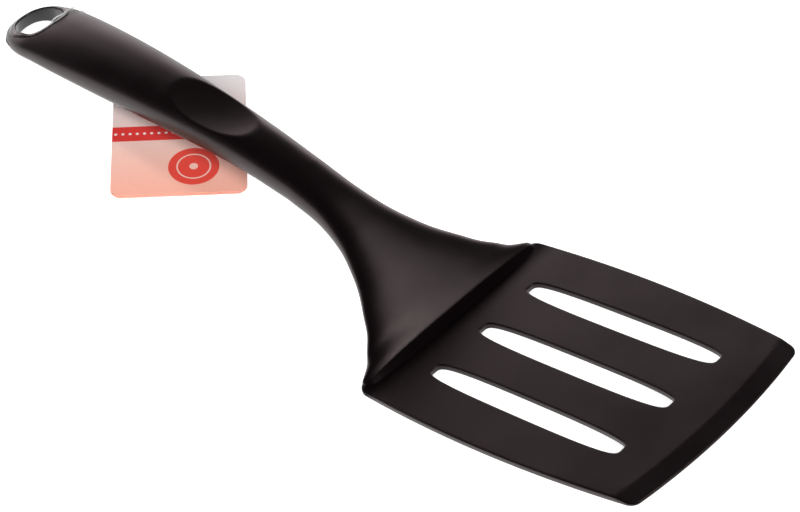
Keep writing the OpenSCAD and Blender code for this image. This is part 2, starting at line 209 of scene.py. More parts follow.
# Rings from the blade back to the handle's end. Columns go from the cover's seat on one
# side over the top to the other side, then back below, or up round the hollow grip. Both
# counts of columns are odd, so that one lies in the middle.
over_n, under_n, step_n = 131, 41, 3
neck_rings, solid_rings, core_rings, eye_rings = 130, 12, 140, 65
before_eye_rings, end_rings, flare_rings = 16, 26, 14
neck_crowding, ridge_rings, ridge_passes = 1.3, 8, 3
eye_wall_n, eye_flare_n = 5, 7
seat_turn = math.acos(seat_share ** (section_power / 2))
over_turns = np.linspace(-seat_turn, math.pi + seat_turn, over_n)
under_turns = np.linspace(math.pi + seat_turn, 2 * math.pi - seat_turn, under_n + 2)[1:-1]
turns = np.concatenate([over_turns, under_turns])
across = signed_power(np.cos(turns), 2 / section_power)
upward = np.sin(turns) > 0

# in front of the ridge the section keeps its width and sinks along the hollow curve: a few rings
# inside the blade, then close ones up the step, from and to shares of its length
foot_runs = ((3.9, 1.18, 16), (1.13, 0, 44))
foot_t = np.concatenate([np.linspace(*run) for run in foot_runs])
foot_v = ridge_foot * foot_t + heel_back
foot_w = blade_t + ridge_h * read_shares(foot_shares, foot_t)[0]
foot_x = foot_v * tilt_cos - foot_w * tilt_sin
foot_top = foot_v * tilt_sin + foot_w * tilt_cos
# its lower side stays inside the blade, an eighth of the thickness up
foot_low = np.maximum(foot_x, 0) * tilt_sin / tilt_cos + blade_t / 8

core_start = neck_l + waist_solid_l
core_end = handle_l - eye_wall - eye_l - 3 * liner_t - 3 * wall
liner_hole = liner_t + fit_gap
eye_a = np.linspace(0, math.pi, eye_rings)
eye_dx, eye_half = eye_point(eye_a, liner_hole)
eye_half[[0, -1]] = 0
eye_s = heel_x - (eye_x + eye_dx)
neck_s = neck_l * np.linspace(0, 1, neck_rings) ** neck_crowding
solid_s = np.linspace(neck_l, core_start, solid_rings)[1:]
core_s = np.linspace(core_start + fit_gap, core_end - fit_gap, core_rings)
before_eye = np.linspace(core_end, eye_s[0], before_eye_rings)[:-1]
end_turn = np.linspace(0, math.pi / 2, end_rings)[1:]
after_eye = handle_l - (handle_l - eye_s[-1]) * (1 - np.sin(end_turn))
ring_s = np.concatenate([neck_s, solid_s, core_s, before_eye, eye_s, after_eye])
half, top, bottom, edge = handle_lines(ring_s)
ring_x = heel_x - ring_s

x = np.concatenate([heel_x + foot_x, ring_x])
half = np.concatenate([np.full(len(foot_x), ridge_w / 2), half])
top = np.concatenate([foot_top, top])
bottom = np.concatenate([foot_low, bottom])
edge = np.concatenate([foot_low + (foot_top - foot_low) / 3, edge])
# the ridge itself is rounded over: each ring near it moves half of the way to the mean of its
# neighbours
near_ridge = np.arange(len(foot_x) - ridge_rings, len(foot_x) + ridge_rings - 1)
for _ in range(ridge_passes):
    for line in (x, top, bottom, edge, half):
        line[near_ridge] = (line[near_ridge - 1] + 2 * line[near_ridge] + line[near_ridge + 1]) / 4

first_eye = len(x) - len(after_eye) - len(eye_s)
last_eye = len(x) - len(after_eye) - 1
slit = np.zeros(len(x))
slit[first_eye:last_eye + 1] = eye_half
s = heel_x - x
y = half[:, None] * across[None, :]
share = np.abs(y) / np.maximum(half, tiny)[:, None]
y = np.where(y < 0, -1, 1) * (slit[:, None] + (half - slit)[:, None] * share)
rise = bulge(y, half[:, None])
z = np.where(upward[None, :], edge[:, None] + (top - edge)[:, None] * rise,
             edge[:, None] - (edge - bottom)[:, None] * rise)
z = np.where(upward[None, :], softer_min(z, scoop_z(s[:, None], y), scoop_lip),
             np.maximum(z, 0))
shell = np.stack([np.broadcast_to(x[:, None], y.shape), y, z], -1)

# where the grip is hollow the lower columns step up from the seat and follow the core's roof
first_core = len(foot_x) + len(neck_s) + len(solid_s)
rows = np.arange(first_core, first_core + len(core_s))
core_back, core_half = s[rows][:, None], half[rows][:, None]
seat, past_level = cover_t + fit_gap, 18
roof_a = np.radians(np.linspace(180 + past_level, -past_level, under_n - 2 * step_n))[None, :]
roof_y = (core_half - wall) * signed_power(np.cos(roof_a), 2 / section_power)
roof_h = np.where(np.sin(roof_a) > 0, (top - edge)[rows][:, None] - wall,
                  (edge - bottom)[rows][:, None] - wall)
roof_top = edge[rows][:, None] + roof_h * signed_power(np.sin(roof_a), 2 / section_power)
roof_top = np.minimum(roof_top, scoop_z(core_back, roof_y) - wall)
step_y = np.array([seat_share, bay_share, bay_share])[None, :] * core_half
step_z = np.stack([belly_z(core_back[:, 0], step_y[:, i]) for i in range(step_n)], -1)
step_z = step_z + np.array([seat, seat, wall])
shell[rows, over_n:, 1] = np.concatenate([-step_y, roof_y, step_y[:, ::-1]], 1)
shell[rows, over_n:, 2] = np.concatenate([step_z, roof_top, step_z[:, ::-1]], 1)

# at the eye the middle columns, above and below, are doubled: one point on each side of it
rings, columns = shell.shape[:2]
number = np.arange(rings * columns).reshape(rings, columns)
mid_over, mid_under = over_n // 2, over_n + under_n // 2
slit_rows = np.arange(first_eye + 1, last_eye)
far_over = shell[slit_rows, mid_over] * [1, -1, 1]
near_under = shell[slit_rows, mid_under] * [1, -1, 1]
shell[slit_rows, mid_under, 1] = -slit[slit_rows]
near_under[:, 1] = slit[slit_rows]
far_number = number.copy()
doubled = rings * columns + np.arange(2 * len(slit_rows)).reshape(2, -1)
far_number[slit_rows, mid_over], far_number[slit_rows, mid_under] = doubled
left = number[:, :mid_over + 1]
right = np.concatenate([far_number[:, mid_over:mid_over + 1],
                        number[:, mid_over + 1:mid_under + 1]], 1)
back = np.concatenate([far_number[:, mid_under:mid_under + 1], number[:, mid_under + 1:],
                       number[:, :1]], 1)
faces = [grid_quads(left), grid_quads(right), grid_quads(back)]
# the wall of the eye's opening, from its upper rim down to its lower rim
upper = np.concatenate([number[first_eye:last_eye + 1, mid_over],
                        far_number[slit_rows[::-1], mid_over]])
lower = np.concatenate([number[first_eye:first_eye + 1, mid_under],
                        far_number[slit_rows, mid_under],
                        number[last_eye:last_eye + 1, mid_under],
                        number[slit_rows[::-1], mid_under]])
handle_points = np.concatenate([shell.reshape(-1, 3), far_over, near_under])


def spread_below(p):
    """Points of the underside pushed away from the eye, by eye_flare at its edge and by less
    further out, and set back on the underside."""
    dx, dy = p[:, 0] - eye_x, p[:, 1]
    from_middle = np.maximum(np.hypot(dx, dy), tiny)
    q = np.where(dx > 0, eye_grip_power, eye_end_power)
    edge_at = (np.abs(dx / from_middle / (eye_l / 2 + liner_hole)) ** q
               + np.abs(dy / from_middle / (eye_w / 2 + liner_hole)) ** q) ** (-1 / q)
    push = eye_flare * np.clip(1 - (from_middle - edge_at) / (2 * eye_flare), 0, 1) / from_middle
    out = np.stack([p[:, 0] + dx * push, dy * (1 + push)], -1)
    return np.concatenate([out, belly_z(heel_x - out[:, 0], out[:, 1])[:, None]], 1)


flared = np.concatenate([number[first_eye - flare_rings:, over_n:].ravel(), doubled[1]])
straight_low = handle_points[lower] * [1, 1, 0] + [0, 0, eye_flare]
handle_points[flared] = spread_below(handle_points[flared])
# the wall drops straight to the flare, then turns outwards along a quarter ellipse
down = np.linspace(0, 1, eye_wall_n)[1:, None, None]
turn_out = np.linspace(0, math.pi / 2, eye_flare_n)[1:-1, None, None]
out_and_down = np.concatenate([1 - np.cos(turn_out), 1 - np.cos(turn_out), np.sin(turn_out)], 2)
wall_points = np.concatenate([
    handle_points[upper] * (1 - down) + straight_low * down,
    straight_low + (handle_points[lower] - straight_low) * out_and_down])
wall_number = len(handle_points) + np.arange(wall_points[..., 0].size).reshape(-1, len(upper))
wall_number = np.concatenate([upper[None], wall_number, lower[None]])
handle_points = np.concatenate([handle_points, wall_points.reshape(-1, 3)])
# the front ring is closed inside the blade, and the last ring has run together at the tip
faces += [grid_quads(wall_number, around=True)[:, ::-1], number[0][None, ::-1]]
handle_faces = [f[:, ::-1] for f in faces]


# ---------------------------------------------------------------------------
# The turner's blade. A flat plate of the same moulding, bowed along its sides and its
# front, with three long slots, a thinned strip at the front and softly broken edges.
side_r, front_r, corner_r, heel_r = 490.0, 240.0, 4.0, 4.5
bevel_l, edge_t, bevel_soft = 6.6, 0.9, 0.35
slot_l, slot_w, slot_pitch, slot_front = 80.0, 8.8, 24.3, 22.0
rim_soft, rim_flat, slot_soft, slot_flat, round_share = 0.55, 0.5, 0.45, 0.4, 0.45
slot_end_power, slot_side_power, slot_crowding, slot_n = 3, 4.2, 0.46, 220
front_n, corner_n, side_n, heel_n, rear_n = 60, 14, 150, 26, 30
wide_share = 0.36
wide_v = wide_share * blade_l
side_c = np.array([wide_v, blade_w / 2 - side_r])
front_c = np.array([blade_l - front_r, 0.0])


def arc(centre, r, a, b, n, whole=False):
    """Points on a circle's arc from angle a to angle b, the last one left out unless whole."""
    t = np.linspace(a, b, n, endpoint=whole)
    return np.stack([centre[0] + r * np.cos(t), centre[1] + r * np.sin(t)], -1)


def bearing(centre, p):
    """Angle of the line from a centre to a point."""
    return math.atan2(p[1] - centre[1], p[0] - centre[0])


# a corner's circle touches the side's and the front's from inside, so its centre lies where two
# circles about theirs cross
apart = front_c - side_c
reach = np.linalg.norm(apart)
along = ((side_r - corner_r) ** 2 - (front_r - corner_r) ** 2 + reach**2) / (2 * reach)
off = math.sqrt((side_r - corner_r) ** 2 - along**2)
corner_c = side_c + apart / reach * along + np.array([apart[1], -apart[0]]) / reach * off
heel_c = np.array([heel_r - heel_back, side_c[1] + math.sqrt(
    (side_r - heel_r) ** 2 - (heel_r - heel_back - wide_v) ** 2)])
front_turn, side_turn = bearing(front_c, corner_c), bearing(side_c, corner_c)
heel_turn = bearing(side_c, heel_c)
half_outline = np.concatenate([
    arc(front_c, front_r, 0, front_turn, front_n),
    arc(corner_c, corner_r, front_turn, side_turn, corner_n),
    arc(side_c, side_r, side_turn, heel_turn, side_n),
    arc(heel_c, heel_r, heel_turn, math.pi, heel_n),
    np.stack([np.full(rear_n, -heel_back), np.linspace(heel_c[1], 0, rear_n, endpoint=False)], -1),
    [[-heel_back, 0.0]],
])
blade_outline = np.concatenate([half_outline, (half_outline * [1, -1])[-2:0:-1]])


def outward(outline):
    """Unit normals of a closed outline that runs anticlockwise: the line between each point's
    neighbours, turned a quarter clockwise."""
    d = np.roll(outline, -1, 0) - np.roll(outline, 1, 0)
    n = np.stack([d[:, 1], -d[:, 0]], -1)
    return n / np.linalg.norm(n, axis=1)[:, None]


def blade_top(p):
    """Height of the blade's top in its own plane: flat, then falling along the front strip, with
    the bend between them rounded as a hyperbola."""
    past = np.hypot(p[..., 0] - front_c[0], p[..., 1]) - (front_r - bevel_l)
    past = 0.5 * (past + np.sqrt(past**2 + bevel_soft**2))
    return blade_t - (blade_t - edge_t) * past / bevel_l


def edge_band(outline, inward, soft, flat, top_of, steps=6):
    """Rings round a plate's edge: a flat margin, a quarter round, the wall, a quarter round and
    a flat margin below. inward is each point's direction into the material."""
    radius = np.minimum(soft, top_of(outline) * round_share)
    margin = outline + inward * (soft + flat)
    turns = np.linspace(0, math.pi / 2, steps)
    drops = [radius * (1 - math.cos(t)) for t in turns]
    rounds = [outline + inward * (radius * (1 - math.sin(t)))[:, None] for t in turns]
    lines = [margin, *rounds, *rounds[::-1], margin]
    heights = [top_of(margin), *[top_of(p) - drop for p, drop in zip(rounds, drops)],
               *drops[::-1], np.zeros(len(margin))]
    return np.stack([np.concatenate([p, h[:, None]], 1) for p, h in zip(lines, heights)])


def banded(bands):
    """The bands' points in one table, their quads, and the numbers of the points on the top line
    and the bottom line of each. The first band goes round the outline, the others round holes."""
    faces, top_loops, low_loops, offset = [], [], [], 0
    for k, band in enumerate(bands):
        number = offset + np.arange(band[..., 0].size).reshape(band.shape[:2])
        quads = grid_quads(number, around=True)
        faces.append(quads[:, ::-1] if k == 0 else quads)
        top_loops.append(number[0])
        low_loops.append(number[-1])
        offset += number.size
    return np.concatenate([b.reshape(-1, 3) for b in bands]), faces, top_loops, low_loops


slot_a = np.linspace(0, 2 * math.pi, slot_n, endpoint=False)
slot_a = slot_a - slot_crowding * np.sin(2 * slot_a)
slot_shape = np.stack([slot_l / 2 * signed_power(np.cos(slot_a), 2 / slot_end_power),
                       slot_w / 2 * signed_power(np.sin(slot_a), 2 / slot_side_power)], -1)
slot_v = blade_l - slot_front - slot_l / 2
bands = [edge_band(blade_outline, -outward(blade_outline), rim_soft, rim_flat, blade_top)]
for i in (-1, 0, 1):
    hole = slot_shape + [slot_v, i * slot_pitch]
    bands.append(edge_band(hole, outward(hole), slot_soft, slot_flat, blade_top))
band_points, blade_faces, top_loops, low_loops = banded(bands)


def fill(points, loops, extra=()):
    """Triangles over the flat region between an outer loop of points and the loops inside it.
    extra gives open lines of new points that the triangles must follow; their ends are snapped
    to the nearest point of the outer loop. It gives back the points, the triangles, which of the
    loops' points each one was, and the numbers of those."""
    flat_numbers = np.concatenate(loops)
    flat = [Vector(p) for p in points[flat_numbers][:, :2]]
    edges, at = [], 0
    for loop in loops:
        n = len(loop)
        edges += [(at + i, at + (i + 1) % n) for i in range(n)]
        at += n
    outer = points[loops[0]][:, :2]
    for line in extra:
        first, last = [int(np.argmin(np.linalg.norm(outer - p, axis=1))) for p in line[[0, -1]]]
        chain = [first, *range(at, at + len(line) - 2), last]
        flat += [Vector(p) for p in line[1:-1]]
        edges += list(zip(chain[:-1], chain[1:]))
        at += len(line) - 2
    verts, _, tris, origins, _, _ = delaunay_2d_cdt(flat, edges, [], 0, 1e-7)
    verts = np.array([v[:] for v in verts])
    tris = np.array([t for t in tris])
    origins = np.array([o[0] if len(o) else -1 for o in origins])
    middle = verts[tris].mean(1)
    keep = inside(middle, outer)
    for loop in loops[1:]:
        keep &= ~inside(middle, points[loop][:, :2])
    return verts, tris[keep], origins, flat_numbers


def inside(p, loop):
    """Whether each point lies inside a closed loop: it does where a line drawn from it crosses
    an odd number of the loop's sides."""
    a, b = loop, np.roll(loop, -1, 0)
    over = (a[None, :, 1] > p[:, None, 1]) != (b[None, :, 1] > p[:, None, 1])
    rise = np.where(b[:, 1] == a[:, 1], 1, b[:, 1] - a[:, 1])
    cross = a[:, 0] + (p[:, None, 1] - a[:, 1]) * (b[:, 0] - a[:, 0]) / rise
    return (over & (p[:, None, 0] < cross)).sum(1) % 2 == 1


# lines of points that follow the bend at the front strip, just inside the blade's outline
crease_places, crease_n, crease_past = (-1.2, -0.6, -0.3, 0, 0.3, 0.6, 1.2), 150, 1.01898
outer_line = band_points[top_loops[0]][:, :2]
# each starts a little past the corners, and keeps what lies inside but for two points at each end
crease_turn = front_turn * crease_past
creases = []
for shift in crease_places:
    line = arc(front_c, front_r - bevel_l + shift, -crease_turn, crease_turn, crease_n, True)
    creases.append(line[inside(line, outer_line)][2:-2])
for (verts, tris, origins, numbers), above in ((fill(band_points, top_loops, creases), True),
                                               (fill(band_points, low_loops), False)):
    kept = (origins >= 0) & (origins < len(numbers))
    renumber = np.zeros(len(verts), int)
    renumber[kept] = numbers[origins[kept]]
    renumber[~kept] = len(band_points) + np.arange((~kept).sum())
    new = verts[~kept]
    band_points = np.concatenate([band_points, np.column_stack([new, blade_top(new)])])
    blade_faces.append(renumber[tris] if above else renumber[tris][:, ::-1])
v, across_y, w = band_points.T
blade_points = np.stack([heel_x + (v + heel_back) * tilt_cos - w * tilt_sin, across_y,
                         (v + heel_back) * tilt_sin + w * tilt_cos], -1)
# handle and blade are one moulding, so they are one piece
turner = finished_mesh("turner_moulding", np.concatenate([handle_points, blade_points]),
                       handle_faces + [f + len(handle_points) for f in blade_faces])


def put(tree, socket, value):
    """Sets a node's input to a number or a colour, or links another node's output to it."""
    if isinstance(value, bpy.types.NodeSocket):
        tree.links.new(value, socket)
    else:
        socket.default_value = (*value, 1) if socket.type == "RGBA" else value


def fed(tree, made, **inputs):
    """The node, with its inputs set by name."""
    for name, value in inputs.items():
        put(tree, made.inputs[name.replace("_", " ")], value)
    return made


def node(tree, kind, **inputs):
    """A new shader node with its inputs set by name."""
    return fed(tree, tree.nodes.new(kind), **inputs)


def worked(tree, kind, *terms):
    """A sum in the shader: a kind of math on numbers or on other nodes' outputs."""
    made = tree.nodes.new("ShaderNodeMath")
    made.operation = kind
    for socket, term in zip(made.inputs, terms):
        put(tree, socket, term)
    return made.outputs[0]


def ranged(tree, source, low, high, at_low, at_high, curve="LINEAR"):
    """A value that goes from one level to another as the source goes from low to high."""
    made = node(tree, "ShaderNodeMapRange", Value=source, From_Min=low, From_Max=high,
                To_Min=at_low, To_Max=at_high)
    made.interpolation_type = curve
    return made.outputs["Result"]


def speckle(tree, scale, detail, roughness):
    """Noise on the piece's own coordinates, as a factor."""
    place = tree.nodes.new("ShaderNodeTexCoord").outputs["Object"]
    return node(tree, "ShaderNodeTexNoise", Vector=place, Scale=scale, Detail=detail,
                Roughness=roughness).outputs["Fac"]


def toned(tree, factor, a, b):
    """A colour between a and b, by a factor."""
    made = tree.nodes.new("ShaderNodeMix")
    made.data_type = "RGBA"
    return fed(tree, made, Factor=factor, A=a, B=b).outputs["Result"]


def bare_material(name):
    """A material that holds nothing but its shader, its node tree, and that shader."""
    material = bpy.data.materials.new(name)
    material.use_nodes = True
    return material, material.node_tree, material.node_tree.nodes["Principled BSDF"]


def moulded_nylon(name, colour, sheen, roughness, grain, grain_depth):
    """Matte moulded plastic: a fine spark-eroded grain, faint wide unevenness, and handling marks
    that change how sharply it reflects."""
    material, tree, shader = bare_material(name)
    marks = speckle(tree, scale=38.0, detail=5.0, roughness=0.6)
    patches = speckle(tree, scale=90.0, detail=3.0, roughness=0.55)
    wide = node(tree, "ShaderNodeBump", Strength=0.08, Distance=0.0006,
                Height=speckle(tree, scale=55.0, detail=1.0, roughness=0.4))
    bump = node(tree, "ShaderNodeBump", Strength=grain_depth, Distance=0.0001,
                Height=speckle(tree, scale=grain, detail=2.0, roughness=0.5),
                Normal=wide.outputs["Normal"])
    fed(tree, shader, IOR=1.5, Specular_Tint=sheen, Normal=bump.outputs["Normal"],
        Roughness=ranged(tree, marks, 0.3, 0.7, at_low=roughness - 0.05, at_high=roughness + 0.06),
        Base_Color=toned(tree, patches, [c * 0.82 for c in colour], [c * 1.2 for c in colour]))
    return material


black = moulded_nylon("black_nylon", colour=(0.0024, 0.0015, 0.0017), sheen=(1.0, 0.8, 0.8),
                      roughness=0.34, grain=2600.0, grain_depth=0.3)
# painted shade: the step from the ridge down to the blade is given less mirror strength than the
# faces beside it, to darken the shaded corner under the ridge. It falls at the ridge's crest and
# rises again a little way out on the blade, in millimetres from the heel
full_level, shaded_step_level, crest_run, blade_run = 0.5, 0.08, (0.9, 2.1), (4.2, 11.5)
tree = black.node_tree
ways = node(tree, "ShaderNodeSeparateXYZ",
            Vector=tree.nodes.new("ShaderNodeTexCoord").outputs["Object"])
falling, rising = [
    ranged(tree, ways.outputs["X"], (heel_x + start) / 1000, (heel_x + stop) / 1000, *levels,
           "SMOOTHSTEP")
    for (start, stop), levels in ((crest_run, (1, shaded_step_level)), (blade_run, (shaded_step_level, 1)))]
# painted shade: the mirror strength is cut on the step below the ridge, which darkens the shaded
# corner there
painted_shade_level = worked(tree, "MULTIPLY", worked(tree, "MAXIMUM", falling, rising), full_level)
fed(tree, tree.nodes["Principled BSDF"], Specular_IOR_Level=painted_shade_level)
turner.data.materials.append(black)
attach(turner, "turner")
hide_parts("turner")


# ---------------------------------------------------------------------------
# The cover under the grip: a curved strip of matt black nylon that closes the cored grip from
# below, flush with it, with a hairline seam all round and two pegs that stand up inside.
cover_inset, cover_round, cover_rings, strip_n, cover_corner_n = 2 * fit_gap, 0.35, 160, 25, 5
peg_r, peg_foot, peg_chamfer, on_axis, peg_sides = 2.0, 0.8, 0.4, 0.01, 40
cover_s = np.linspace(core_start + cover_inset, core_end - cover_inset, cover_rings)
cover_half = handle_lines(cover_s)[0] * seat_share - fit_gap
corner = np.linspace(0, math.pi / 2, cover_corner_n)
bottom_y = (cover_half - cover_round)[:, None] * np.linspace(-1, 1, strip_n)
corner_y = (cover_half - cover_round)[:, None] + cover_round * np.sin(corner)[None, :]
corner_h = cover_round * (1 - np.cos(corner))
under_y = np.concatenate([-corner_y[:, ::-1], bottom_y[:, 1:-1], corner_y], 1)
under_h = np.concatenate([corner_h[::-1], np.zeros(strip_n - 2), corner_h])
under_z = belly_z(cover_s[:, None], under_y) + under_h
over_y = under_y[:, ::-1]
over_z = belly_z(cover_s[:, None], over_y) + cover_t
cover_x = np.broadcast_to((heel_x - cover_s)[:, None], under_y.shape)
strip = np.stack([np.concatenate([cover_x, cover_x], 1), np.concatenate([under_y, over_y], 1),
                  np.concatenate([under_z, over_z], 1)], -1)
number = np.arange(strip[..., 0].size).reshape(strip.shape[:2])
cover_faces = [f[:, ::-1] for f in (grid_quads(number, around=True), *ends(number))]


def turned(x0, profile, steps):
    """A shape turned about an upright axis, from (radius, height) pairs that start and end at
    the axis."""
    a = np.linspace(0, 2 * math.pi, steps, endpoint=False)
    r, h = np.array(profile, float).T
    return np.stack([x0 + r[:, None] * np.cos(a), r[:, None] * np.sin(a),
                     np.broadcast_to(h[:, None], (len(r), steps))], -1)


peg_s = np.array([core_start + 3 * wall + 2 * peg_r, core_end - 3 * wall - 2 * peg_r])
cover_points = strip.reshape(-1, 3)
for at, over, under in zip(peg_s, *handle_lines(peg_s)[1:3]):
    head, foot = over - 3 * wall, under + peg_foot
    peg = turned(heel_x - at, [(on_axis, foot), (peg_r, foot), (peg_r, head - peg_chamfer),
                               (peg_r - peg_chamfer, head), (on_axis, head)], peg_sides)
    number = len(cover_points) + np.arange(peg[..., 0].size).reshape(peg.shape[:2])
    cover_faces += [grid_quads(number, around=True), *ends(number)]
    cover_points = np.concatenate([cover_points, peg.reshape(-1, 3)])
cover = finished_mesh("grip_cover_strip", cover_points, cover_faces)
cover.data.materials.append(moulded_nylon(
    "cover_nylon", colour=(0.0034, 0.0024, 0.0026), sheen=(1.0, 0.8, 0.8),
    roughness=0.34, grain=2200.0, grain_depth=0.3))
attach(cover, "turner")
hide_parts("grip_cover")


# ---------------------------------------------------------------------------
# The liner of the hanging eye: a polished black sleeve pressed through the handle's end, with a
# thin bead round its top that stands at the end and fades out towards the grip.
bead_w, bead_h, lip_r, foot_r, bead_tuck, liner_n = 1.0, 0.5, 0.5, 0.4, 0.05, 180
bead_least, bead_from, bead_span = 0.15, 0.5, 0.7
foot_n, inner_n, lip_n, rim_ways, bead_n = 5, 7, 7, (0.35, 0.7, 1.0), 6
liner_a = np.linspace(0, 2 * math.pi, liner_n, endpoint=False)
bead = np.clip((bead_from - np.cos(liner_a)) / bead_span, 0, 1)
bead = bead_least + (1 - bead_least) * bead * bead * (3 - 2 * bead)


def liner_line(grow, lift):
    """A line round the liner: the eye's outline grown by a margin, lifted off the handle's top."""
    dx, dy = eye_point(liner_a, grow)
    return np.stack([eye_x + dx, dy, roof_z(heel_x - eye_x - dx, dy) + lift], -1)


def at_height(line, z):
    """The line with its heights replaced."""
    return np.concatenate([line[:, :2], np.broadcast_to(z, len(line))[:, None]], 1)


# rows of points from the foot up inside, over the lip and the bead, and down outside
inside_line, outside_line = liner_line(0.0, bead * bead_h), liner_line(liner_t, fit_gap)
inside_top, foot_top_z = inside_line[:, 2] - lip_r, eye_flare + foot_r
foot_turn, lip_turn, bead_turn = [
    np.linspace(0, math.pi / 2, n) for n in (foot_n, lip_n, bead_n)]
liner_rows = [at_height(liner_line(foot_r * (1 - math.sin(v)), 0),
                        eye_flare + foot_r * (1 - math.cos(v)))
              for v in foot_turn]
liner_rows += [at_height(inside_line, foot_top_z * (1 - k) + inside_top * k)
               for k in np.linspace(0, 1, inner_n)[1:]]
liner_rows += [at_height(liner_line(lip_r * (1 - math.cos(v)), 0),
                         inside_line[:, 2] - lip_r * (1 - math.sin(v)))
               for v in lip_turn[1:]]
liner_rows += [liner_line(lip_r + (liner_t - lip_r) * k, fit_gap * k + bead * bead_h)
               for k in rim_ways]
liner_rows += [liner_line(liner_t + bead * bead_w * math.sin(v),
                          fit_gap + bead * (fit_gap + (bead_h - fit_gap) * math.cos(v)))
               for v in bead_turn[1:]]
liner_rows += [liner_line(liner_t + bead_tuck * bead, fit_gap), at_height(outside_line, eye_flare)]
liner_points = np.stack(liner_rows)
number = np.arange(liner_points[..., 0].size).reshape(liner_points.shape[:2])
number = np.concatenate([number, number[:1]])
liner = finished_mesh("eye_liner", liner_points, [grid_quads(number, around=True)[:, ::-1]])


def polished_plastic(name, colour, roughness):
    """Polished plastic with a clear surface, faint polishing swirls and dust in its gloss."""
    material, tree, shader = bare_material(name)
    swirl = speckle(tree, scale=420.0, detail=4.0, roughness=0.6)
    fed(tree, shader, Roughness=ranged(tree, swirl, 0, 1, roughness * 0.7, roughness * 1.5),
        Base_Color=toned(tree, swirl, [c * 0.8 for c in colour], [c * 1.25 for c in colour]))
    return material


liner.data.materials.append(
    polished_plastic("eye_gloss", colour=(0.012, 0.0105, 0.011), roughness=0.12))
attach(liner, "turner")
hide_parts("hanging_eye")


# ---------------------------------------------------------------------------
# The folded tag: two leaves of coated card with round corners and a punched hole, lying
# under the grip, the back one a little longer. The print is on the upper leaf.
tag_w, tag_h, tag_t, tag_r, tag_hole_r, tag_inset = 48.5, 60.0, 0.3, 4.0, 2.0, 5.2
tag_turn, tag_x, tag_y, tag_rest = math.radians(45.5), -108.0, 3.0, 0.9
leaf_gap, tag_slip, card_soft, card_flat, card_steps = 0.1, 0.7, 0.07, 0.15, 4
tag_corner_n, tag_hole_n = 18, 56
tag_cos, tag_sin = math.cos(tag_turn), math.sin(tag_turn)


def card_top(p):
    """Height of a leaf's top above its underside: the same everywhere."""
    return np.full(p.shape[:-1], tag_t)


def leaf(name, low, extra):
    """A card leaf: bands round its outline and its hole, closed by flat faces above and below."""
    x0, x1 = -tag_inset + tag_r, tag_w - tag_inset - tag_r
    y0, y1 = -tag_h + tag_inset - extra + tag_r, tag_inset - tag_r
    quarter = math.pi / 2
    outline = np.concatenate([arc(c, tag_r, k * quarter, (k + 1) * quarter, tag_corner_n)
                              for k, c in enumerate(((x1, y1), (x0, y1), (x0, y0), (x1, y0)))])
    hole = arc((0, 0), tag_hole_r, 0, 2 * math.pi, tag_hole_n)
    points, faces, top_loops, low_loops = banded([
        edge_band(line, inward, card_soft, card_flat, card_top, card_steps)
        for line, inward in ((outline, -outward(outline)), (hole, outward(hole)))])
    for loops, above in ((top_loops, True), (low_loops, False)):
        _, tris, origins, numbers = fill(points, loops)
        tris = numbers[origins[tris]]
        faces.append(tris if above else tris[:, ::-1])
    u, v, w = points.T
    return finished_mesh(name, np.stack([tag_x + u * tag_cos - v * tag_sin,
                                         tag_y + u * tag_sin + v * tag_cos, low + w], -1), faces)


# the print, in millimetres from the card's lower left corner: a band with a row of dots in it,
# and rings like a plate's below. print_soft is the width of a printed edge.
card_colours = ((0.0, (0.96, 0.44, 0.33)), (0.3, (0.93, 0.55, 0.46)),
                (0.62, (0.86, 0.66, 0.62)), (1.0, (0.78, 0.77, 0.79)))
band_red, plate_red, dot_pink, plate_pink = (
    (0.74, 0.045, 0.04), (0.80, 0.07, 0.05), (0.93, 0.80, 0.76), (0.93, 0.55, 0.47))
band_low, band_high, dot_step, dot_r, print_soft = 27.0, 34.5, 2.6, 0.62, 0.12
plate_x, plate_y, plate_r, groove_in, groove_out, well_r = 29.5, 13.2, 9.2, 5.6, 6.3, 1.6


